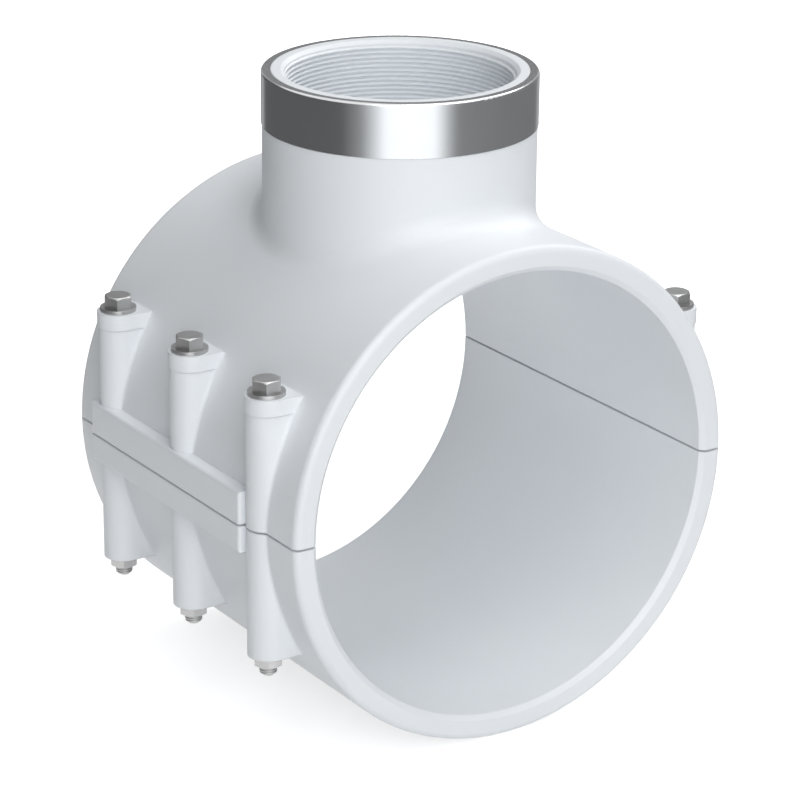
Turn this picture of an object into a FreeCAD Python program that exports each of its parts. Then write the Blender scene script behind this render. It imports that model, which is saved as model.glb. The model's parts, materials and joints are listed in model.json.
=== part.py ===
import FreeCAD, Part
import os
import math
import Sketcher
from FreeCAD import Vector, Placement, Rotation

# Tapping saddle: a two-part clamp for a plastic pipe with a threaded branch on top.
# Frame: the pipe axis lies along Y, the branch axis is +Z, the origin is on the pipe
# axis under the middle of the branch. All lengths are in millimetres.

doc = FreeCAD.newDocument("TappingSaddle")

SIZES = [
    ("bore_rad", 112.5, "radius of the pipe bore, for a pipe of 225 mm outside diameter"),
    ("wall", 12.5, "wall of the half shells"),
    ("body_len", 210.0, "length of the shells along the pipe"),
    ("part_gap", 1.0, "gap left between the two halves when they are bolted up"),
    ("rim_round", 3.5, "rounding of the outer end edges"),
    ("rim_lead", 2.5, "chamfer inside the ends of the bore"),
    ("neck_wall", 10.8, "wall of the branch neck outside the thread"),
    ("neck_tall", 63.6, "height of the branch mouth above the crown of the shell"),
    ("neck_root", 12.0, "fillet between the neck and the shell"),
    ("port_rad", 48.0, "water way from the pipe to the branch"),
    ("thread_rad", 56.515, "major radius of the G4 branch thread"),
    ("thread_len", 40.0, "depth of the threaded socket"),
    ("mouth_flare", 1.8, "chamfer that leads into the thread"),
    ("band_len", 26.3, "height of the reinforcing ring"),
    ("band_wall", 1.8, "sheet thickness of the reinforcing ring"),
    ("band_lip", 4.6, "width of the rolled top edge of the ring"),
    ("band_proud", 0.4, "how far the ring stands out from the neck"),
    ("band_gap", 0.1, "clearance between the ring and the neck"),
    ("band_round", 1.5, "rounding of the top edge of the ring"),
    ("bolt_land", 2.5, "wall between the bolt holes and the pipe bore"),
    ("end_land", 34.0, "distance of the outer bolts from the ends of the shells"),
    ("boss_wall", 2.3, "wall of the bolt bosses outside the corners of the nut pockets"),
    ("boss_top", 66.0, "height of the upper bosses"),
    ("boss_foot", 65.5, "depth of the lower bosses"),
    ("boss_root", 1.5, "fillet between the webs and the shell"),
    ("pad_depth", 8.0, "height of the thickened pad under the bolt heads"),
    ("pad_proud", 0.6, "how far that pad stands out from the boss"),
    ("flange_proud", 6.0, "how far the flanges stand out from the shell"),
    ("flange_up", 17.0, "height of the upper flange"),
    ("flange_down", 14.0, "depth of the lower flange"),
    ("flange_inset", 7.0, "how far each flange reaches past the middle of its last boss"),
    ("flange_edge", 1.5, "rounding of the flange ledge"),
    ("bolt_dia", 8.0, "bolt diameter"),
    ("bolt_past", 10.5, "how far the bolts stand out below the lower bosses"),
    ("bolt_gap", 0.5, "radial clearance of the bolt in its hole"),
    ("bolt_tip", 1.2, "chamfer at the bolt end"),
    ("head_flats", 13.0, "bolt head across the flats"),
    ("head_tall", 6.0, "bolt head height"),
    ("hex_bevel", 30.0, "angle of the bevel on heads and nuts"),
    ("bevel_inset", 0.5, "how far the bevel starts inside the flats"),
    ("washer_dia", 18.0, "washer diameter"),
    ("washer_thick", 2.0, "washer thickness"),
    ("nut_flats", 13.0, "nut across the flats"),
    ("nut_tall", 8.0, "nut height"),
    ("nut_gap", 0.15, "clearance of the nut in its pocket, on each flat"),
    ("nut_proud", 5.5, "how far the nut stands out below the boss foot"),
    ("thread_gap", 0.05, "radial clearance between the nut and the bolt"),
    ("seal_land", 5.0, "wall between the water way and the branch seal"),
    ("seal_wide", 8.0, "width of the branch seal"),
    ("seal_thick", 6.0, "thickness of the branch seal"),
    ("seal_gap", 0.1, "clearance of the seal in its seat"),
]

sheet = doc.addObject("Spreadsheet::Sheet", "sheet")
for row, (alias, number, note) in enumerate(SIZES, start=1):
    sheet.set("A%d" % row, alias)
    sheet.set("B%d" % row, str(number))
    sheet.set("C%d" % row, note)
    sheet.setAlias("B%d" % row, alias)
doc.recompute()


def value(alias):
    """Number of a named cell, used only to draw first outlines and to find edges."""
    return float(sheet.get(alias))


# Helpers that draw fully constrained sketches on a body's own origin planes.


def plane(body, role):
    for feature in body.Origin.OriginFeatures:
        if feature.Role == role:
            return feature
    raise ValueError(role)


def new_sketch(body, name, role, lift=None):
    """Sketch on one of the body's own origin planes, lifted along its normal by an expression."""
    sketch = body.newObject("Sketcher::SketchObject", name)
    sketch.AttachmentSupport = [(plane(body, role), "")]
    sketch.MapMode = "FlatFace"
    if lift:
        sketch.setExpression("AttachmentOffset.Base.z", lift)
    return sketch


def bind(sketch, constraint, formula):
    number = sketch.addConstraint(constraint)
    sketch.setExpression("Constraints[%d]" % number, formula)


def add_circle(sketch, x, y, radius, formula, x_formula=None, y_formula=None):
    """Circle whose centre is at the origin or at bound distances from it."""
    ring = sketch.addGeometry(Part.Circle(Vector(x, y, 0), Vector(0, 0, 1), radius), False)
    bind(sketch, Sketcher.Constraint("Radius", ring, radius), formula)
    if x_formula is None and y_formula is None:
        sketch.addConstraint(Sketcher.Constraint("Coincident", ring, 3, -1, 1))
    else:
        if x_formula is None:
            sketch.addConstraint(Sketcher.Constraint("PointOnObject", ring, 3, -2))
        else:
            bind(sketch, Sketcher.Constraint("DistanceX", -1, 1, ring, 3, x), x_formula)
        if y_formula is None:
            sketch.addConstraint(Sketcher.Constraint("PointOnObject", ring, 3, -1))
        else:
            bind(sketch, Sketcher.Constraint("DistanceY", -1, 1, ring, 3, y), y_formula)
    return ring


def add_outline(sketch, corners):
    """Closed outline of straight lines; each corner is (x, x formula, y, y formula)."""
    count = len(corners)
    lines = []
    for i in range(count):
        x0, _, y0, _ = corners[i]
        x1, _, y1, _ = corners[(i + 1) % count]
        side = Part.LineSegment(Vector(x0, y0, 0), Vector(x1, y1, 0))
        lines.append(sketch.addGeometry(side, False))
    for i in range(count):
        sketch.addConstraint(Sketcher.Constraint("Coincident", lines[i], 2, lines[(i + 1) % count], 1))
    for i in range(count):
        x, x_formula, y, y_formula = corners[i]
        if x_formula is None:
            sketch.addConstraint(Sketcher.Constraint("PointOnObject", lines[i], 1, -2))
        else:
            bind(sketch, Sketcher.Constraint("DistanceX", -1, 1, lines[i], 1, x), x_formula)
        if y_formula is None:
            sketch.addConstraint(Sketcher.Constraint("PointOnObject", lines[i], 1, -1))
        else:
            bind(sketch, Sketcher.Constraint("DistanceY", -1, 1, lines[i], 1, y), y_formula)
    return lines


def add_hexagon(sketch, x, y, flats, formula, x_formula=None, y_formula=None):
    """Regular hexagon with two corners on the line through its centre along X."""
    reach = flats / 2 / math.cos(math.radians(30))
    ring = sketch.addGeometry(Part.Circle(Vector(x, y, 0), Vector(0, 0, 1), reach), True)
    points = []
    for i in range(6):
        turn = math.radians(60 * i)
        points.append(Vector(x + reach * math.cos(turn), y + reach * math.sin(turn), 0))
    lines = []
    for i in range(6):
        lines.append(sketch.addGeometry(Part.LineSegment(points[i], points[(i + 1) % 6]), False))
    for i in range(6):
        sketch.addConstraint(Sketcher.Constraint("Coincident", lines[i], 2, lines[(i + 1) % 6], 1))
        sketch.addConstraint(Sketcher.Constraint("PointOnObject", lines[i], 1, ring))
    for i in range(1, 6):
        sketch.addConstraint(Sketcher.Constraint("Equal", lines[0], lines[i]))
    if x_formula is None:
        sketch.addConstraint(Sketcher.Constraint("Coincident", ring, 3, -1, 1))
    else:
        bind(sketch, Sketcher.Constraint("DistanceX", -1, 1, ring, 3, x), x_formula)
        bind(sketch, Sketcher.Constraint("DistanceY", -1, 1, ring, 3, y), y_formula)
    sketch.addConstraint(Sketcher.Constraint("Horizontal", lines[0], 1, ring, 3))
    bind(sketch, Sketcher.Constraint("Radius", ring, reach), formula)


def add_slot(sketch, half, half_formula, y, y_formula, radius, radius_formula):
    """Slot along X, centred on the Y axis at the given height, with round ends."""
    up = Vector(0, 0, 1)
    quarter = math.pi / 2
    left_end = Part.ArcOfCircle(Part.Circle(Vector(-half, y, 0), up, radius), quarter, 3 * quarter)
    right_end = Part.ArcOfCircle(Part.Circle(Vector(half, y, 0), up, radius), -quarter, quarter)
    top_side = Part.LineSegment(Vector(half, y + radius, 0), Vector(-half, y + radius, 0))
    low_side = Part.LineSegment(Vector(-half, y - radius, 0), Vector(half, y - radius, 0))
    left = sketch.addGeometry(left_end, False)
    right = sketch.addGeometry(right_end, False)
    top = sketch.addGeometry(top_side, False)
    low = sketch.addGeometry(low_side, False)
    sketch.addConstraint(Sketcher.Constraint("Tangent", right, 2, top, 1))
    sketch.addConstraint(Sketcher.Constraint("Tangent", top, 2, left, 1))
    sketch.addConstraint(Sketcher.Constraint("Tangent", left, 2, low, 1))
    sketch.addConstraint(Sketcher.Constraint("Tangent", low, 2, right, 1))
    sketch.addConstraint(Sketcher.Constraint("Equal", left, right))
    sketch.addConstraint(Sketcher.Constraint("Horizontal", top))
    bind(sketch, Sketcher.Constraint("Radius", right, radius), radius_formula)
    bind(sketch, Sketcher.Constraint("DistanceX", -1, 1, right, 3, half), half_formula)
    bind(sketch, Sketcher.Constraint("DistanceX", left, 3, -1, 1, half), half_formula)
    if y < 0:
        bind(sketch, Sketcher.Constraint("DistanceY", right, 3, -1, 1, -y), y_formula)
    else:
        bind(sketch, Sketcher.Constraint("DistanceY", -1, 1, right, 3, y), y_formula)


def pad(body, sketch, name, length, reverse=False, both=False):
    feature = body.newObject("PartDesign::Pad", name)
    feature.Profile = sketch
    feature.Reversed = reverse
    if both:
        feature.Midplane = True
    feature.setExpression("Length", length)
    body.Tip = feature
    doc.recompute()
    return feature


def cut(body, sketch, name, length=None, reverse=False, both=False):
    """Pocket; without a length it goes through everything. It must remove material."""
    before = body.Shape.Volume
    feature = body.newObject("PartDesign::Pocket", name)
    feature.Profile = sketch
    feature.Reversed = reverse
    if both:
        feature.Midplane = True
    if length is None:
        feature.Type = 1
    else:
        feature.setExpression("Length", length)
    body.Tip = feature
    doc.recompute()
    if not body.Shape.Volume < before:
        raise RuntimeError("%s removes nothing" % name)
    return feature


def row_along_pipe(body, feature, name):
    """Three copies of a feature, one bolt pitch apart along the pipe."""
    pattern = body.newObject("PartDesign::LinearPattern", name)
    pattern.Originals = [feature]
    pattern.Direction = (plane(body, "Y_Axis"), [""])
    pattern.setExpression("Length", "2 * " + PITCH)
    pattern.Occurrences = 3
    body.Tip = pattern
    doc.recompute()
    return pattern


def edge_names(feature, test):
    """Names of the edges whose sampled points all pass the test."""
    names = []
    for number, edge in enumerate(feature.Shape.Edges, start=1):
        if edge.Length < 0.01:
            continue
        points = edge.discretize(7)
        if all(test(p) for p in points):
            names.append("Edge%d" % number)
    return names


def soften(body, base, name, names, formula, kind="Fillet"):
    feature = body.newObject("PartDesign::" + kind, name)
    feature.Base = (base, names)
    feature.setExpression("Radius" if kind == "Fillet" else "Size", formula)
    body.Tip = feature
    doc.recompute()
    return feature


def near(a, b, within=0.02):
    return abs(a - b) < within


# The two shells of the clamp.

# Places that several features share, each as a formula and as its present number.
OUTER = "(sheet.bore_rad + sheet.wall)"
outer = value("bore_rad") + value("wall")
half_len = value("body_len") / 2
PITCH = "(sheet.body_len / 2 - sheet.end_land)"
pitch = half_len - value("end_land")
BOLT_OUT = "(sheet.bore_rad + sheet.bolt_land + sheet.bolt_gap + sheet.bolt_dia / 2)"
bolt_out = value("bore_rad") + value("bolt_land") + value("bolt_gap") + value("bolt_dia") / 2
POCKET = "((sheet.nut_flats / 2 + sheet.nut_gap) / cos(30 deg))"
pocket_flats = value("nut_flats") + 2 * value("nut_gap")
BOSS = "(%s + sheet.boss_wall)" % POCKET
boss_rad = pocket_flats / 2 / math.cos(math.radians(30)) + value("boss_wall")
FLANGE_OUT = "(%s + sheet.flange_proud)" % OUTER
flange_out = outer + value("flange_proud")
FLANGE_STOP = "(%s - sheet.flange_inset)" % PITCH
flange_stop = pitch - value("flange_inset")
NECK = "(sheet.thread_rad + sheet.neck_wall)"
neck_rad = value("thread_rad") + value("neck_wall")
TOP = "(%s + sheet.neck_tall)" % OUTER
top = outer + value("neck_tall")
SEAL = "(sheet.port_rad + sheet.seal_land)"
BOLT_LEN = "(sheet.boss_top + sheet.washer_thick + sheet.boss_foot + sheet.bolt_past)"
bolt_len = value("boss_top") + value("washer_thick") + value("boss_foot") + value("bolt_past")


def half_disc(body, name, sign):
    """Half disc in the plane across the pipe, on one side of the parting plane."""
    sketch = new_sketch(body, name, "XZ_Plane")
    gap = value("part_gap") / 2
    reach = math.sqrt(outer * outer - gap * gap)
    turn = math.asin(gap / outer)
    circle = Part.Circle(Vector(0, 0, 0), Vector(0, 0, 1), outer)
    if sign > 0:
        arc = sketch.addGeometry(Part.ArcOfCircle(circle, turn, math.pi - turn), False)
        line = sketch.addGeometry(Part.LineSegment(Vector(-reach, gap, 0), Vector(reach, gap, 0)), False)
    else:
        arc = sketch.addGeometry(Part.ArcOfCircle(circle, math.pi + turn, 2 * math.pi - turn), False)
        line = sketch.addGeometry(Part.LineSegment(Vector(reach, -gap, 0), Vector(-reach, -gap, 0)), False)
    sketch.addConstraint(Sketcher.Constraint("Coincident", arc, 3, -1, 1))
    sketch.addConstraint(Sketcher.Constraint("Coincident", arc, 2, line, 1))
    sketch.addConstraint(Sketcher.Constraint("Coincident", line, 2, arc, 1))
    sketch.addConstraint(Sketcher.Constraint("Horizontal", line))
    bind(sketch, Sketcher.Constraint("Radius", arc, outer), OUTER)
    if sign > 0:
        bind(sketch, Sketcher.Constraint("DistanceY", -1, 1, line, 1, gap), "sheet.part_gap / 2")
    else:
        bind(sketch, Sketcher.Constraint("DistanceY", line, 1, -1, 1, gap), "sheet.part_gap / 2")
    return sketch


def shell_blank(body, sign):
    """Solid half barrel, before the bore is cut."""
    disc = half_disc(body, "BarrelOutline", sign)
    barrel = pad(body, disc, "Barrel", "sheet.body_len", both=True)
    return barrel


def webs(body, sign):
    """A slot across the whole body makes the bosses and webs of both sides at once."""
    face = "sheet.part_gap / 2" if sign > 0 else "-sheet.part_gap / 2"
    end = "sheet.boss_top" if sign > 0 else "sheet.boss_foot"
    outline = new_sketch(body, "WebOutline", "XY_Plane", face)
    add_slot(outline, bolt_out, BOLT_OUT, -pitch, PITCH, boss_rad, BOSS)
    web = pad(body, outline, "Web", end + " - sheet.part_gap / 2", reverse=sign < 0)
    return row_along_pipe(body, web, "Webs")


def flanges(body, sign):
    """Two flange blocks, each the other turned half round the branch axis."""
    face = "sheet.part_gap / 2" if sign > 0 else "-sheet.part_gap / 2"
    end = "sheet.flange_up" if sign > 0 else "sheet.flange_down"
    outline = new_sketch(body, "FlangeOutline", "XY_Plane", face)
    far = pitch + boss_rad
    bore_rad = value("bore_rad")
    add_outline(
        outline,
        [
            (-flange_out, "-" + FLANGE_OUT, -flange_stop, "-" + FLANGE_STOP),
            (-bore_rad, "-sheet.bore_rad", -flange_stop, "-" + FLANGE_STOP),
            (-bore_rad, "-sheet.bore_rad", far, PITCH + " + " + BOSS),
            (-flange_out, "-" + FLANGE_OUT, far, PITCH + " + " + BOSS),
        ],
    )
    block = pad(body, outline, "Flange", end + " - sheet.part_gap / 2", reverse=sign < 0)
    pattern = body.newObject("PartDesign::PolarPattern", "Flanges")
    pattern.Originals = [block]
    pattern.Axis = (plane(body, "Z_Axis"), [""])
    pattern.Angle = 360
    pattern.Occurrences = 2
    body.Tip = pattern
    doc.recompute()
    return pattern


def bore(body):
    outline = new_sketch(body, "BoreOutline", "XZ_Plane")
    add_circle(outline, 0, 0, value("bore_rad"), "sheet.bore_rad")
    return cut(body, outline, "PipeBore", "sheet.body_len + sheet.wall", both=True)


def bolt_holes(body, sign):
    outline = new_sketch(body, "BoltHoleOutline", "XY_Plane")
    radius = value("bolt_dia") / 2 + value("bolt_gap")
    formula = "sheet.bolt_dia / 2 + sheet.bolt_gap"
    add_circle(outline, -bolt_out, -pitch, radius, formula, "-" + BOLT_OUT, "-" + PITCH)
    add_circle(outline, bolt_out, -pitch, radius, formula, BOLT_OUT, "-" + PITCH)
    hole = cut(body, outline, "BoltHoles", reverse=sign > 0)
    return row_along_pipe(body, hole, "BoltHoleRow")


def rim_edges(feature, radius):
    def on_rim(p):
        return near(abs(p.y), half_len) and near(math.hypot(p.x, p.z), radius)

    return edge_names(feature, on_rim)


# Upper saddle: half barrel, neck, webs, flanges, then the bores.
upper = doc.addObject("PartDesign::Body", "UpperBody")
shell_blank(upper, 1)

neck_sketch = new_sketch(upper, "NeckOutline", "XZ_Plane")
SPIGOT = NECK + " + sheet.band_proud - sheet.band_wall - sheet.band_gap"
LIP = NECK + " + sheet.band_proud - sheet.band_lip - sheet.band_gap"
spigot = neck_rad + value("band_proud") - value("band_wall") - value("band_gap")
lip = neck_rad + value("band_proud") - value("band_lip") - value("band_gap")
gap = value("part_gap") / 2
seat = top - value("band_len") - value("band_gap")
shoulder = top - value("band_wall") - value("band_gap")
add_outline(
    neck_sketch,
    [
        (0, None, gap, "sheet.part_gap / 2"),
        (neck_rad, NECK, gap, "sheet.part_gap / 2"),
        (neck_rad, NECK, seat, TOP + " - sheet.band_len - sheet.band_gap"),
        (spigot, SPIGOT, seat, TOP + " - sheet.band_len - sheet.band_gap"),
        (spigot, SPIGOT, shoulder, TOP + " - sheet.band_wall - sheet.band_gap"),
        (lip, LIP, shoulder, TOP + " - sheet.band_wall - sheet.band_gap"),
        (lip, LIP, top, TOP),
        (0, None, top, TOP),
    ],
)
neck = upper.newObject("PartDesign::Revolution", "Neck")
neck.Profile = neck_sketch
neck.ReferenceAxis = (neck_sketch, ["V_Axis"])
neck.Angle = 360
upper.Tip = neck
doc.recompute()


def at_neck_root(p):
    return near(math.hypot(p.x, p.y), neck_rad) and near(math.hypot(p.x, p.z), outer)


soften(upper, neck, "NeckRoot", edge_names(neck, at_neck_root), "sheet.neck_root")
web_row = webs(upper, 1)


def at_web_root(p):
    """On the barrel and on the side of a web or the round end of its boss."""
    if not near(math.hypot(p.x, p.z), outer):
        return False
    over = max(0.0, abs(p.x) - bolt_out)
    reach = min(math.hypot(over, p.y - step) for step in (-pitch, 0, pitch))
    return near(reach, boss_rad, 0.03)


soften(upper, web_row, "WebRoots", edge_names(web_row, at_web_root), "sheet.boss_root")


def thick_pads(body):
    """Slightly wider pad at the top of each boss and web, under the bolt heads."""
    outline = new_sketch(body, "PadOutline", "XY_Plane", "sheet.boss_top")
    radius = boss_rad + value("pad_proud")
    add_slot(outline, bolt_out, BOLT_OUT, -pitch, PITCH, radius, BOSS + " + sheet.pad_proud")
    block = pad(body, outline, "HeadPad", "sheet.pad_depth", reverse=True)
    return row_along_pipe(body, block, "HeadPads")


thick_pads(upper)
flanges(upper, 1)
bore(upper)

port_sketch = new_sketch(upper, "PortOutline", "XZ_Plane")
step_height = top - value("thread_len")
flare_height = top - value("mouth_flare")
mouth = value("thread_rad") + value("mouth_flare")
add_outline(
    port_sketch,
    [
        (0, None, 0, None),
        (value("port_rad"), "sheet.port_rad", 0, None),
        (value("port_rad"), "sheet.port_rad", step_height, TOP + " - sheet.thread_len"),
        (value("thread_rad"), "sheet.thread_rad", step_height, TOP + " - sheet.thread_len"),
        (value("thread_rad"), "sheet.thread_rad", flare_height, TOP + " - sheet.mouth_flare"),
        (mouth, "sheet.thread_rad + sheet.mouth_flare", top, TOP),
        (0, None, top, TOP),
    ],
)
before = upper.Shape.Volume
port = upper.newObject("PartDesign::Groove", "Port")
port.Profile = port_sketch
port.ReferenceAxis = (port_sketch, ["V_Axis"])
port.Angle = 360
upper.Tip = port
doc.recompute()
if not upper.Shape.Volume < before:
    raise RuntimeError("the port removes nothing")

holes = bolt_holes(upper, 1)
upper_rim = soften(upper, holes, "RimRound", rim_edges(holes, outer), "sheet.rim_round")
upper_inner = rim_edges(upper_rim, value("bore_rad"))
upper_lead = soften(upper, upper_rim, "RimLead", upper_inner, "sheet.rim_lead", "Chamfer")


def flange_edges(feature, height):
    """Long outer edges of the flange ledges and the upright edges at their ends."""
    far_end = pitch + boss_rad

    def on_edge(p):
        if not near(abs(p.x), flange_out):
            return False
        along = near(p.z, height)
        upright = near(abs(p.y), flange_stop) or near(abs(p.y), far_end)
        return along or upright

    return edge_names(feature, on_edge)


soften(
    upper, upper_lead, "LedgeRound", flange_edges(upper_lead, value("flange_up")), "sheet.flange_edge"
)

# The seat of the branch seal follows the curve of the pipe bore.
SEAT_OUT = SEAL + " + sheet.seal_wide + sheet.seal_gap"
SEAT_IN = SEAL + " - sheet.seal_gap"


def curved_ring(name, inside, outside, near_bore, deep):
    """Ring round the branch axis, cut from a shell that is coaxial with the pipe bore."""
    parts = {}
    for key, radius in (("Out", outside), ("In", inside)):
        post = doc.addObject("Part::Cylinder", name + "Post" + key)
        post.setExpression("Radius", radius)
        post.setExpression("Height", "sheet.bore_rad + sheet.wall")
        parts[key] = post
    for key, radius in (("Deep", deep), ("Near", near_bore)):
        drum = doc.addObject("Part::Cylinder", name + "Drum" + key)
        drum.setExpression("Radius", radius)
        drum.setExpression("Height", "sheet.body_len")
        drum.Placement = Placement(Vector(0, 0, 0), Rotation(Vector(1, 0, 0), 90))
        drum.setExpression("Placement.Base.y", "sheet.body_len / 2")
        parts[key] = drum
    tube = doc.addObject("Part::Cut", name + "Tube")
    tube.Base = parts["Out"]
    tube.Tool = parts["In"]
    shell = doc.addObject("Part::Cut", name + "Shell")
    shell.Base = parts["Deep"]
    shell.Tool = parts["Near"]
    ring = doc.addObject("Part::Common", name)
    ring.Base = tube
    ring.Tool = shell
    doc.recompute()
    return ring


seat_tool = curved_ring(
    "SealSeat",
    SEAT_IN,
    SEAT_OUT,
    "sheet.bore_rad - sheet.seal_thick",
    "sheet.bore_rad + sheet.seal_thick + sheet.seal_gap",
)
upper_saddle = doc.addObject("Part::Cut", "UpperSaddle")
upper_saddle.Base = upper
upper_saddle.Tool = seat_tool
upper_saddle.Label = "upper_saddle"
doc.recompute()

branch_seal = curved_ring(
    "BranchSeal",
    SEAL,
    SEAL + " + sheet.seal_wide",
    "sheet.bore_rad",
    "sheet.bore_rad + sheet.seal_thick",
)
branch_seal.Label = "branch_seal"

# Lower saddle: half barrel, webs and flanges, with a pocket in each foot for its nut.
lower = doc.addObject("PartDesign::Body", "LowerSaddle")
lower.Label = "lower_saddle"
shell_blank(lower, -1)
low_webs = webs(lower, -1)
soften(lower, low_webs, "WebRoots", edge_names(low_webs, at_web_root), "sheet.boss_root")
flanges(lower, -1)
bore(lower)
bolt_holes(lower, -1)

pocket_sketch = new_sketch(lower, "NutPocketOutline", "XY_Plane", "-sheet.boss_foot")
add_hexagon(pocket_sketch, -bolt_out, -pitch, pocket_flats, POCKET, "-" + BOLT_OUT, "-" + PITCH)
add_hexagon(pocket_sketch, bolt_out, -pitch, pocket_flats, POCKET, BOLT_OUT, "-" + PITCH)
pocket = cut(lower, pocket_sketch, "NutPockets", "sheet.nut_tall - sheet.nut_proud", reverse=True)
pocket_row = row_along_pipe(lower, pocket, "NutPocketRow")
low_rim = soften(lower, pocket_row, "RimRound", rim_edges(pocket_row, outer), "sheet.rim_round")
low_inner = rim_edges(low_rim, value("bore_rad"))
low_lead = soften(lower, low_rim, "RimLead", low_inner, "sheet.rim_lead", "Chamfer")
soften(
    lower, low_lead, "LedgeRound", flange_edges(low_lead, -value("flange_down")), "sheet.flange_edge"
)


# Stainless ring drawn over the end of the neck, with its top edge rolled inwards.
ring = doc.addObject("PartDesign::Body", "ReinforcingRing")
ring.Label = "reinforcing_ring"
ring_sketch = new_sketch(ring, "RingOutline", "XZ_Plane")
RING_OUT = NECK + " + sheet.band_proud"
ring_out = neck_rad + value("band_proud")
ring_in = ring_out - value("band_wall")
ring_lip = ring_out - value("band_lip")
ring_low = top - value("band_len")
ring_under = top - value("band_wall")
add_outline(
    ring_sketch,
    [
        (ring_in, RING_OUT + " - sheet.band_wall", ring_low, TOP + " - sheet.band_len"),
        (ring_out, RING_OUT, ring_low, TOP + " - sheet.band_len"),
        (ring_out, RING_OUT, top, TOP),
        (ring_lip, RING_OUT + " - sheet.band_lip", top, TOP),
        (ring_lip, RING_OUT + " - sheet.band_lip", ring_under, TOP + " - sheet.band_wall"),
        (ring_in, RING_OUT + " - sheet.band_wall", ring_under, TOP + " - sheet.band_wall"),
    ],
)
ring_turn = ring.newObject("PartDesign::Revolution", "RingTurn")
ring_turn.Profile = ring_sketch
ring_turn.ReferenceAxis = (ring_sketch, ["V_Axis"])
ring_turn.Angle = 360
ring.Tip = ring_turn
doc.recompute()


def at_ring_top(p):
    return near(p.z, top) and near(math.hypot(p.x, p.y), ring_out)


soften(ring, ring_turn, "RingRound", edge_names(ring_turn, at_ring_top), "sheet.band_round")


# Fasteners: a bolt, a washer and a nut at each of the six bosses.


def bevel(body, name, flats, flats_formula, height, height_formula, upward):
    """Turned bevel that takes the corners off a hexagon at one end."""
    sketch = new_sketch(body, name + "Outline", "XZ_Plane")
    start = flats / 2 - value("bevel_inset")
    reach = flats
    drop = (reach - start) * math.tan(math.radians(value("hex_bevel")))
    sign = 1 if upward else -1
    start_formula = "%s / 2 - sheet.bevel_inset" % flats_formula
    drop_formula = "(%s / 2 + sheet.bevel_inset) * tan(sheet.hex_bevel * 1 deg)" % flats_formula
    low = height - sign * drop
    low_formula = "%s %s %s" % (height_formula or "0", "-" if upward else "+", drop_formula)
    add_outline(
        sketch,
        [
            (start, start_formula, height, height_formula),
            (reach, flats_formula, height, height_formula),
            (reach, flats_formula, low, low_formula),
        ],
    )
    before = body.Shape.Volume
    groove = body.newObject("PartDesign::Groove", name)
    groove.Profile = sketch
    groove.ReferenceAxis = (sketch, ["V_Axis"])
    groove.Angle = 360
    body.Tip = groove
    doc.recompute()
    if not body.Shape.Volume < before:
        raise RuntimeError("%s removes nothing" % name)
    return groove


def seat_body(body, side, step, height_formula):
    """Puts a fastener on its bolt axis at the given height."""
    body.setExpression("Placement.Base.x", "%d * %s" % (side, BOLT_OUT))
    body.setExpression("Placement.Base.y", "%d * %s" % (step, PITCH))
    body.setExpression("Placement.Base.z", height_formula)


def make_bolt(label, side, step):
    body = doc.addObject("PartDesign::Body", "Body_" + label)
    body.Label = label
    head_sketch = new_sketch(body, "HeadOutline", "XY_Plane")
    add_hexagon(head_sketch, 0, 0, value("head_flats"), "sheet.head_flats / 2 / cos(30 deg)")
    pad(body, head_sketch, "Head", "sheet.head_tall")
    shank_sketch = new_sketch(body, "ShankOutline", "XY_Plane")
    add_circle(shank_sketch, 0, 0, value("bolt_dia") / 2, "sheet.bolt_dia / 2")
    pad(body, shank_sketch, "Shank", BOLT_LEN, reverse=True)
    flats = value("head_flats")
    tall = value("head_tall")
    top_bevel = bevel(body, "HeadBevel", flats, "sheet.head_flats", tall, "sheet.head_tall", True)

    def at_tip(p):
        return near(p.z, -bolt_len) and near(math.hypot(p.x, p.y), value("bolt_dia") / 2)

    soften(body, top_bevel, "Tip", edge_names(top_bevel, at_tip), "sheet.bolt_tip", "Chamfer")
    seat_body(body, side, step, "sheet.boss_top + sheet.washer_thick")
    return body


def make_washer(label, side, step):
    body = doc.addObject("PartDesign::Body", "Body_" + label)
    body.Label = label
    outline = new_sketch(body, "WasherOutline", "XY_Plane")
    add_circle(outline, 0, 0, value("washer_dia") / 2, "sheet.washer_dia / 2")
    hole = value("bolt_dia") / 2 + value("bolt_gap")
    add_circle(outline, 0, 0, hole, "sheet.bolt_dia / 2 + sheet.bolt_gap")
    pad(body, outline, "Washer", "sheet.washer_thick")
    seat_body(body, side, step, "sheet.boss_top")
    return body


def make_nut(label, side, step):
    body = doc.addObject("PartDesign::Body", "Body_" + label)
    body.Label = label
    outline = new_sketch(body, "NutOutline", "XY_Plane")
    add_hexagon(outline, 0, 0, value("nut_flats"), "sheet.nut_flats / 2 / cos(30 deg)")
    hole = value("bolt_dia") / 2 + value("thread_gap")
    add_circle(outline, 0, 0, hole, "sheet.bolt_dia / 2 + sheet.thread_gap")
    pad(body, outline, "Nut", "sheet.nut_tall")
    flats = value("nut_flats")
    bevel(body, "NutBevelLow", flats, "sheet.nut_flats", 0, None, False)
    bevel(body, "NutBevelTop", flats, "sheet.nut_flats", value("nut_tall"), "sheet.nut_tall", True)
    seat_body(body, side, step, "-sheet.boss_foot - sheet.nut_proud")
    return body


fasteners = []
number = 0
for side in (-1, 1):
    for step in (-1, 0, 1):
        number += 1
        fasteners.append(make_bolt("bolt_%d" % number, side, step))
        fasteners.append(make_washer("washer_%d" % number, side, step))
        fasteners.append(make_nut("nut_%d" % number, side, step))

doc.recompute()

# Every object must be sound before anything is written.
for item in doc.Objects:
    if "Invalid" in item.State or "Error" in item.State:
        raise RuntimeError("%s failed: %s" % (item.Name, item.State))

pieces = [upper_saddle, lower, ring, branch_seal] + fasteners
for piece in pieces:
    shape = piece.Shape
    if shape.isNull() or not shape.isValid() or len(shape.Solids) != 1:
        raise RuntimeError("%s is not one valid solid" % piece.Label)

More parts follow.
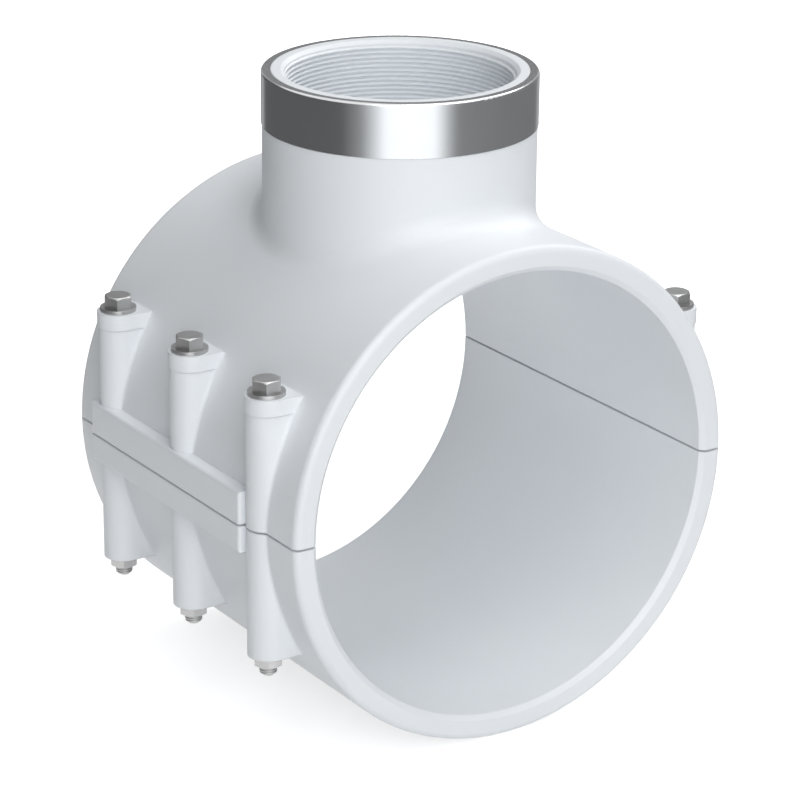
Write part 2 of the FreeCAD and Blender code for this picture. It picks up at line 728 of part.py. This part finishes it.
os.makedirs("parts", exist_ok=True)
for piece in pieces:
    piece.Shape.exportStep("parts/%s.step" % piece.Label)
    box = piece.Shape.BoundBox
    print(
        "%-18s %10.0f mm3  x %.1f to %.1f  y %.1f to %.1f  z %.1f to %.1f"
        % (piece.Label, piece.Shape.Volume, box.XMin, box.XMax, box.YMin, box.YMax, box.ZMin, box.ZMax)
    )
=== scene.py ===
import json
import math
import bmesh
import bpy
from mathutils import Matrix, Vector


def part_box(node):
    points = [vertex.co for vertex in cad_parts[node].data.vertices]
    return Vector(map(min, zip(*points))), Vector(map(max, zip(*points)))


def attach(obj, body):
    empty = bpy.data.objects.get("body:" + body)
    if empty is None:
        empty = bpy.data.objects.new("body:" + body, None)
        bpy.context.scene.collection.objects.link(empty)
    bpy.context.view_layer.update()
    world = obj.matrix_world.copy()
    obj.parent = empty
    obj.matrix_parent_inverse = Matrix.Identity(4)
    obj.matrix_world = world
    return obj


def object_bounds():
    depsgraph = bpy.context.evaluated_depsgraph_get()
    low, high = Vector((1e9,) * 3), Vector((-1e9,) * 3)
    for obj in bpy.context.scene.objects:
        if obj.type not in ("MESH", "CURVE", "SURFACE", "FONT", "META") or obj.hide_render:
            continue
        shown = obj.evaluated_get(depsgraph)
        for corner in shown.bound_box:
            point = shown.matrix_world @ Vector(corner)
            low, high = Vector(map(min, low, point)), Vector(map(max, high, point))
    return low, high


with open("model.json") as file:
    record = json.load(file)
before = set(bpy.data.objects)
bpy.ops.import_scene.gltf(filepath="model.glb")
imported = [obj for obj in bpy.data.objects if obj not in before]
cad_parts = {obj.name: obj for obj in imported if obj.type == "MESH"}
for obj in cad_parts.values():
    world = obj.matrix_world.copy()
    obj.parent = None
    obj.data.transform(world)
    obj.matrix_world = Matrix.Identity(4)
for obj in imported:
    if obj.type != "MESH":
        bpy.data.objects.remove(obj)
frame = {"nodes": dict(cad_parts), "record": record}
cad_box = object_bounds()

MM = 0.001

# Camera of the photograph, fitted to the edges of the bore, ring and bolts.
PICTURE_PIXELS = 800
FOCAL_PIXELS = 3178.0
SENSOR_MM = 36.0
CAMERA_AZIMUTH = -33.62
CAMERA_ELEVATION = 20.41
CAMERA_ROLL = 0.54
CAMERA_DISTANCE = 1601.1 * MM
CAMERA_TARGET = Vector((1.65 * MM, 0, 16.71 * MM))


def turned(azimuth, elevation):
    """Unit vector from the object towards a place seen at that azimuth and elevation."""
    a = math.radians(azimuth)
    e = math.radians(elevation)
    return Vector((math.sin(a) * math.cos(e), -math.cos(a) * math.cos(e), math.sin(e)))


class Wire:
    """Output of a node. A sum or product with it adds a Math node."""

    def __init__(self, tree, socket):
        self.tree = tree
        self.socket = socket

    def math(self, operation, *others):
        """A Math node on this value and then the others."""
        node = self.tree.nodes.new("ShaderNodeMath")
        node.operation = operation
        for place, term in enumerate((self,) + others):
            if isinstance(term, Wire):
                self.tree.links.new(term.socket, node.inputs[place])
            else:
                node.inputs[place].default_value = term
        return Wire(self.tree, node.outputs[0])

    def __add__(self, other):
        return self.math("ADD", other)

    __radd__ = __add__

    def __sub__(self, other):
        return self.math("SUBTRACT", other)

    def __rsub__(self, other):
        return self.math("MULTIPLY_ADD", -1.0, other)

    def __mul__(self, other):
        return self.math("MULTIPLY", other)

    __rmul__ = __mul__


def spread(share, low, high):
    """Number that goes from low to high as the share goes from 0 to 1."""
    return share * (high - low) + low


def grey(level, warmth=0.0):
    """Linear grey with a slight cast: above 0 is warm and below 0 is cool."""
    return (level * (1 + warmth), level, level * (1 - warmth), 1.0)


class Tree:
    """Node tree, for a finish or for a shape."""

    def __init__(self, tree):
        self.tree = tree
        tree.nodes.clear()

    def add(self, kind, settings, sockets, output=0):
        """Adds a node: its settings first, then the values or links of its sockets."""
        node = self.tree.nodes.new(kind)
        for name, setting in settings.items():
            if name == "stops":
                ramp = node.color_ramp
                while len(ramp.elements) < len(setting):
                    ramp.elements.new(1.0)
                for element, (position, tone) in zip(ramp.elements, setting):
                    element.position = position
                    element.color = tone
            else:
                setattr(node, name, setting)
        for name, term in sockets.items():
            if isinstance(term, Wire):
                self.tree.links.new(term.socket, node.inputs[name])
            else:
                node.inputs[name].default_value = term
        return Wire(self.tree, node.outputs[output]) if node.outputs else None

    def split(self, vector):
        """The three parts of a vector."""
        first = self.add("ShaderNodeSeparateXYZ", {}, {"Vector": vector})
        return [Wire(self.tree, socket) for socket in first.socket.node.outputs]


class Finish(Tree):
    """Shader nodes of one material, or of the world."""

    def __init__(self, owner):
        self.owner = owner
        owner.use_nodes = True
        super().__init__(owner.node_tree)

    def place(self):
        """Place on the object, in metres."""
        return self.add("ShaderNodeTexCoord", {}, {}, "Object")

    def noise(self, where, size, detail):
        """Noise from 0 to 1 whose lumps are about the given size."""
        sockets = {"Vector": where, "Scale": 1.0 / size, "Detail": detail}
        return self.add("ShaderNodeTexNoise", {}, sockets, "Fac")

    def blend(self, share, first, second):
        """Colour between two colours."""
        sockets = {"Factor": share, "A": first, "B": second}
        return self.add("ShaderNodeMix", {"data_type": "RGBA"}, sockets, "Result")

    def rounded(self, radius):
        """Normal that rounds the edges off in the shading."""
        return self.add("ShaderNodeBevel", {"samples": EDGE_SAMPLES}, {"Radius": radius})

    def bump(self, height, strength, depth, **base):
        """Normal of a relief whose height goes from 0 to the given depth."""
        sockets = {"Strength": strength, "Distance": depth, "Height": height, **base}
        return self.add("ShaderNodeBump", {}, sockets)

    def coat(self, tone, roughness, normal, **others):
        """The whole material, from its colour, roughness and normal."""
        sockets = {"Base Color": tone, "Roughness": roughness, "Normal": normal, **others}
        return self.close(self.add("ShaderNodeBsdfPrincipled", {}, sockets))

    def seen_directly(self):
        """1 for what the camera, a gloss or clear glass sees, and 0 for light on other things."""
        rays = ("Is Camera Ray", "Is Glossy Ray", "Is Transmission Ray")
        wires = [self.add("ShaderNodeLightPath", {}, {}, ray) for ray in rays]
        return wires[0] + wires[1] + wires[2]

    def close(self, shader, kind="ShaderNodeOutputMaterial"):
        """Links the shader to the output, and gives back the material or the world."""
        self.add(kind, {}, {"Surface": shader})
        return self.owner


# Finishes of the record's four material slots.

EDGE_SAMPLES = 4

# Share of the plastic's relief that is moulded grain. The rest is flow marks.
GRAIN_SHARE = 0.35

# The lines in the drawn ring run round it, and are thin along its axis.
LINE_LENGTH = 25.0 * MM
LINE_WIDTH = MM / 6.0


def moulded_plastic():
    """White polypropylene: fine moulded grain, faint flow marks, slightly duller patches."""
    finish = Finish(bpy.data.materials.new("moulded_plastic"))
    place = finish.place()
    cloud = finish.noise(place, size=60.0 * MM, detail=3.0)
    grain = finish.noise(place, size=0.9 * MM, detail=2.0)
    flow = finish.noise(place, size=18.0 * MM, detail=4.0)
    tone = finish.blend(cloud, grey(0.865, warmth=-0.040), grey(0.890, warmth=-0.034))
    relief = grain * GRAIN_SHARE + flow * (1.0 - GRAIN_SHARE)
    rounded = finish.rounded(radius=1.0 * MM)
    normal = finish.bump(relief, strength=0.12, depth=0.15 * MM, Normal=rounded)
    return finish.coat(tone, spread(flow, 0.38, 0.52), normal, IOR=1.49)


def stainless_ring():
    """Bright drawn sheet with fine lines that run round the ring."""
    finish = Finish(bpy.data.materials.new("stainless_ring"))
    place = finish.place()
    scale = (1.0 / LINE_LENGTH, 1.0 / LINE_LENGTH, 1.0 / LINE_WIDTH)
    stretched = finish.add("ShaderNodeMapping", {}, {"Vector": place, "Scale": scale})
    lines = finish.noise(stretched, size=1.0, detail=2.0)
    cloud = finish.noise(place, size=20.0 * MM, detail=3.0)
    tone = finish.blend(cloud, grey(0.72, warmth=-0.02), grey(0.78, warmth=-0.01))
    normal = finish.bump(lines, strength=0.08, depth=0.05 * MM)
    return finish.coat(tone, spread(lines, 0.14, 0.24), normal, Metallic=1.0)


def plated_steel():
    """Zinc plate on steel: dull silver with cloudy patches and fine pitting."""
    finish = Finish(bpy.data.materials.new("plated_steel"))
    place = finish.place()
    cloud = finish.noise(place, size=6.0 * MM, detail=4.0)
    pits = finish.noise(place, size=0.6 * MM, detail=2.0)
    tone = finish.blend(cloud, grey(0.40, warmth=0.01), grey(0.58))
    rounded = finish.rounded(radius=0.35 * MM)
    normal = finish.bump(pits, strength=0.15, depth=0.08 * MM, Normal=rounded)
    return finish.coat(tone, spread(cloud, 0.28, 0.44), normal, Metallic=1.0)


def seal_rubber():
    """Black rubber with a fine matt skin."""
    finish = Finish(bpy.data.materials.new("seal_rubber"))
    place = finish.place()
    cloud = finish.noise(place, size=10.0 * MM, detail=3.0)
    skin = finish.noise(place, size=0.7 * MM, detail=2.0)
    tone = finish.blend(cloud, grey(0.018), grey(0.035, warmth=0.02))
    normal = finish.bump(skin, strength=0.2, depth=0.1 * MM)
    return finish.coat(tone, spread(cloud, 0.55, 0.75), normal)


FINISHES = {
    "moulded_plastic": moulded_plastic(),
    "stainless_ring": stainless_ring(),
    "plated_steel": plated_steel(),
    "seal_rubber": seal_rubber(),
}


def finish_nodes():
    """Gives every CAD node the finish that the record names for it."""
    for part in frame["record"]["subparts"]:
        node = frame["nodes"][part["node"]]
        node.data.materials.clear()
        node.data.materials.append(FINISHES[part["material_slot"]])


# Threads: a ridge that winds along a helix, made by one geometry tree.

# The branch has a G4 pipe thread, which begins just above the foot of its socket.
BRANCH_PITCH = 2.309 * MM
BRANCH_DEPTH = 1.479 * MM
BRANCH_MAJOR = 56.515 * MM
BRANCH_START = 149.8 * MM
BRANCH_TURNS = 15.9
BRANCH_STEPS_A_TURN = 96

# The bolts have an M8 coarse thread, of which the turns under the nut are drawn.
BOLT_COUNT = 6
BOLT_PITCH = 1.25 * MM
BOLT_DEPTH = 0.35 * MM
BOLT_TURNS = 3.4
BOLT_STEPS_A_TURN = 28
BOLT_BEVEL = 0.9 * MM
BOLT_RADIUS = 4.0 * MM

# Section of the ridge, as a ramp round it: share of its depth, then share of its width.
RIDGE_SECTION = (
    (0.00, (0.0, 0.0, 0.0, 1.0)),
    (0.25, (1.0, 0.4, 0.0, 1.0)),
    (0.50, (1.0, 0.6, 0.0, 1.0)),
    (0.75, (0.0, 1.0, 0.0, 1.0)),
    (1.00, (0.0, 0.0, 0.0, 1.0)),
)
# Width as a share of the pitch, how far the foot is sunk in the wall as a share of the depth, and
# the turns over which the ridge fades out.
RIDGE_WIDTH = 0.92
RIDGE_SUNK = 0.12
FADE_TURNS = 0.6
WELD_DISTANCE = 0.002 * MM
CREASE_ANGLE = math.radians(30)


def thread_tree():
    """Tree for a screw thread whose ridge fades out at both ends.

    A negative depth turns the crest towards the axis, as in a socket.
    """
    group = bpy.data.node_groups.new("screw_thread", "GeometryNodeTree")
    for name in ("Radius", "Pitch", "Depth", "Turns", "Start"):
        group.interface.new_socket(name, in_out="INPUT", socket_type="NodeSocketFloat")
    group.interface.new_socket("Steps", in_out="INPUT", socket_type="NodeSocketInt")
    group.interface.new_socket("Finish", in_out="INPUT", socket_type="NodeSocketMaterial")
    group.interface.new_socket("Geometry", in_out="OUTPUT", socket_type="NodeSocketGeometry")
    tree = Tree(group)
    sizes = tree.add("NodeGroupInput", {}, {}).socket.node.outputs
    size = {socket.name: Wire(group, socket) for socket in sizes if socket.name}

    counts = {"Vertices X": size["Steps"], "Vertices Y": len(RIDGE_SECTION)}
    strip = tree.add("GeometryNodeMeshGrid", {}, {"Size X": 1.0, "Size Y": 1.0, **counts}, "Mesh")
    along, around, _ = tree.split(tree.add("GeometryNodeInputPosition", {}, {}))
    turn = (along + 0.5) * size["Turns"]
    to_an_end = turn.math("MINIMUM", size["Turns"] - turn)
    fade = (to_an_end * (1.0 / FADE_TURNS)).math("MINIMUM", 1.0)
    ramp = {"stops": RIDGE_SECTION}
    section = tree.add("ShaderNodeValToRGB", ramp, {"Fac": around + 0.5}, "Color")
    outward, upward, _ = tree.split(section)
    reach = size["Radius"] + size["Depth"] * (outward * fade - RIDGE_SUNK)
    height = size["Start"] + size["Pitch"] * (turn + (upward - 0.5) * RIDGE_WIDTH * fade)
    angle = turn * (2 * math.pi)
    axes = {"X": reach * angle.math("COSINE"), "Y": reach * angle.math("SINE"), "Z": height}
    spot = tree.add("ShaderNodeCombineXYZ", {}, axes)
    ridge = tree.add("GeometryNodeSetPosition", {}, {"Geometry": strip, "Position": spot})
    weld = {"Geometry": ridge, "Distance": WELD_DISTANCE}
    closed = tree.add("GeometryNodeMergeByDistance", {}, weld)
    whole = tree.add("GeometryNodeRealizeInstances", {}, {"Geometry": closed})
    dress = {"Geometry": whole, "Material": size["Finish"]}
    dressed = tree.add("GeometryNodeSetMaterial", {}, dress)
    tree.add("NodeGroupOutput", {}, {"Geometry": dressed})
    return group


THREAD = thread_tree()


def make_thread(name, slot, centre, sizes):
    """Thread round an upright axis, made a plain mesh in its place."""
    holder = bpy.data.objects.new(name, bpy.data.meshes.new(name))
    bpy.context.scene.collection.objects.link(holder)
    winding = holder.modifiers.new("thread", "NODES")
    winding.node_group = THREAD
    given = dict(sizes, Finish=FINISHES[slot])
    for item in THREAD.interface.items_tree:
        if item.name in given:
            winding[item.identifier] = given[item.name]
    bpy.context.view_layer.update()
    wound = holder.evaluated_get(bpy.context.evaluated_depsgraph_get())
    made = bpy.data.meshes.new_from_object(wound)
    holder.modifiers.clear()
    made.transform(Matrix.Translation(centre))
    shape = bmesh.new()
    shape.from_mesh(made)
    bmesh.ops.recalc_face_normals(shape, faces=shape.faces)
    shape.to_mesh(made)
    shape.free()
    made.shade_smooth()
    made.set_sharp_from_angle(angle=CREASE_ANGLE)
    holder.data = made
    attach(holder, "root")


def make_branch_thread():
    """Thread in the socket of the branch."""
    sizes = {
        "Radius": BRANCH_MAJOR,
        "Pitch": BRANCH_PITCH,
        "Depth": -BRANCH_DEPTH,
        "Turns": BRANCH_TURNS,
        "Start": BRANCH_START,
        "Steps": int(BRANCH_TURNS * BRANCH_STEPS_A_TURN),
    }
    make_thread("branch_thread", "moulded_plastic", Vector((0, 0, 0)), sizes)


def make_bolt_threads():
    """Thread of each bolt where it comes out under its nut."""
    for number in range(1, BOLT_COUNT + 1):
        low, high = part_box("bolt_%d" % number)
        sizes = {
            "Radius": BOLT_RADIUS,
            "Pitch": BOLT_PITCH,
            "Depth": BOLT_DEPTH,
            "Turns": BOLT_TURNS,
            "Start": low.z + BOLT_BEVEL,
            "Steps": int(BOLT_TURNS * BOLT_STEPS_A_TURN),
        }
        centre = Vector(((low.x + high.x) / 2, (low.y + high.y) / 2, 0))
        make_thread("bolt_thread_%d" % number, "plated_steel", centre, sizes)


# The studio: a pale floor, a white surround and large soft lamps in front, at the right and behind.

AMBIENT = 0.13
LAMP_DISTANCE = 2.6
LAMP_SIZE = 1.6

# Azimuth, elevation and the brightness that a white surface gets when it faces the lamp.
LAMPS = {
    "front": (-23.0, 20.0, 0.37),
    "front_high": (-30.0, 55.0, 0.27),
    "right": (110.0, 30.0, 0.38),
    "right_high": (60.0, 70.0, 0.29),
    "behind": (150.0, 20.0, 0.15),
}

FLOOR_HEIGHT = cad_box[0].z
FLOOR_WIDTH = 12.0
FLOOR_TONE = 0.8

# Where the floor is seen it glows: by FLOOR_GLOW within FLOOR_SHADED of the axis, so that the
# object's shadow shows there, and then more and more, up to 1 at FLOOR_PLAIN from the axis.
FLOOR_GLOW = 0.64
FLOOR_SHADED = 0.35
FLOOR_PLAIN = 1.20

SCREEN_RADIUS = 0.5
SCREEN_TALL = 0.62
SCREEN_STEPS = 96
# Added to the ARCTAN2 of a place as a share of a turn, so that the camera is at one half.
SCREEN_START = 0.5 - (CAMERA_AZIMUTH - 90.0) / 360.0
SCREEN_WARMTH = -0.02

# Brightness of the screen round the object, over one turn that starts behind it.
SCREEN_TONES = (
    (0.000, 0.24),
    (0.060, 0.24),
    (0.080, 0.55),
    (0.110, 0.12),
    (0.375, 0.12),
    (0.420, 0.32),
    (0.450, 0.85),
    (0.470, 1.35),
    (0.575, 1.35),
    (0.605, 0.55),
    (0.625, 0.25),
    (0.900, 0.20),
    (0.930, 0.55),
    (0.950, 0.24),
)


def make_floor():
    """Pale floor that keeps a soft shadow round the object and is plain white further out."""
    finish = Finish(bpy.data.materials.new("studio_floor"))
    x, y, _ = finish.split(finish.place())
    away = (x * x + y * y).math("SQRT")
    share = (away - FLOOR_SHADED) * (1.0 / (FLOOR_PLAIN - FLOOR_SHADED))
    share = share.math("MAXIMUM", 0.0).math("MINIMUM", 1.0)
    level = finish.seen_directly() * spread(share, FLOOR_GLOW, 1.0)
    tone = finish.blend(level, grey(0.0), grey(1.0))
    lit = finish.add("ShaderNodeBsdfDiffuse", {}, {"Color": grey(FLOOR_TONE)})
    glow = finish.add("ShaderNodeEmission", {}, {"Color": tone, "Strength": 1.0})
    both = finish.add("ShaderNodeAddShader", {}, {0: lit, 1: glow})
    bpy.ops.mesh.primitive_plane_add(size=FLOOR_WIDTH, location=(0, 0, FLOOR_HEIGHT))
    floor = bpy.context.object
    floor.name = "studio_floor"
    floor.data.materials.append(finish.close(both))


def make_world():
    """Plain surround: white where it is seen, and dimmer as light on the object."""
    surround = Finish(bpy.data.worlds.new("studio"))
    tone = surround.blend(surround.seen_directly(), grey(AMBIENT), grey(1.0))
    glow = surround.add("ShaderNodeBackground", {}, {"Color": tone})
    bpy.context.scene.world = surround.close(glow, "ShaderNodeOutputWorld")


def make_screen():
    """Bright and dark card round the object, which only shows in what is glossy."""
    finish = Finish(bpy.data.materials.new("reflection_screen"))
    x, y, _ = finish.split(finish.place())
    turned_by = y.math("ARCTAN2", x) * (0.5 / math.pi)
    share = (turned_by + SCREEN_START).math("FRACT")
    stops = [(place, grey(tone, SCREEN_WARMTH)) for place, tone in SCREEN_TONES]
    tone = finish.add("ShaderNodeValToRGB", {"stops": stops}, {"Fac": share}, "Color")
    glow = finish.add("ShaderNodeEmission", {}, {"Color": tone, "Strength": 1.0})
    shape = bmesh.new()
    rings = []
    for height in (FLOOR_HEIGHT, FLOOR_HEIGHT + SCREEN_TALL):
        ring = []
        for step in range(SCREEN_STEPS):
            angle = 2 * math.pi * step / SCREEN_STEPS
            spot = (SCREEN_RADIUS * math.cos(angle), SCREEN_RADIUS * math.sin(angle), height)
            ring.append(shape.verts.new(spot))
        rings.append(ring)
    for step in range(SCREEN_STEPS):
        after = (step + 1) % SCREEN_STEPS
        shape.faces.new((rings[0][step], rings[0][after], rings[1][after], rings[1][step]))
    mesh = bpy.data.meshes.new("reflection_screen")
    shape.to_mesh(mesh)
    shape.free()
    mesh.materials.append(finish.close(glow))
    screen = bpy.data.objects.new("reflection_screen", mesh)
    bpy.context.scene.collection.objects.link(screen)
    screen.visible_camera = False
    screen.visible_diffuse = False
    screen.visible_transmission = False
    screen.visible_volume_scatter = False
    screen.visible_shadow = False


def make_lamps():
    """Square lamps that face the object.

    Each needs its level times (pi times its distance) squared, in watts.
    """
    for name, (azimuth, elevation, level) in LAMPS.items():
        lamp = bpy.data.lights.new(name, "AREA")
        lamp.shape = "SQUARE"
        lamp.size = LAMP_SIZE
        lamp.energy = level * (math.pi * LAMP_DISTANCE) ** 2
        holder = bpy.data.objects.new(name, lamp)
        direction = turned(azimuth, elevation)
        holder.location = direction * LAMP_DISTANCE
        holder.rotation_euler = direction.to_track_quat("Z", "Y").to_euler()
        bpy.context.scene.collection.objects.link(holder)


def make_camera():
    """Camera that sees the object as the photograph does."""
    data = bpy.data.cameras.new("camera")
    data.sensor_width = SENSOR_MM
    data.lens = FOCAL_PIXELS * SENSOR_MM / PICTURE_PIXELS
    camera = bpy.data.objects.new("camera", data)
    back = turned(CAMERA_AZIMUTH, CAMERA_ELEVATION)
    camera.location = CAMERA_TARGET + back * CAMERA_DISTANCE
    facing = back.to_track_quat("Z", "Y").to_matrix().to_4x4()
    roll = Matrix.Rotation(math.radians(CAMERA_ROLL), 4, "Z")
    camera.rotation_euler = (facing @ roll).to_euler()
    bpy.context.scene.collection.objects.link(camera)
    bpy.context.scene.camera = camera


finish_nodes()
make_branch_thread()
make_bolt_threads()
make_floor()
make_world()
make_screen()
make_lamps()
make_camera()
bpy.context.scene.view_settings.view_transform = "Standard"
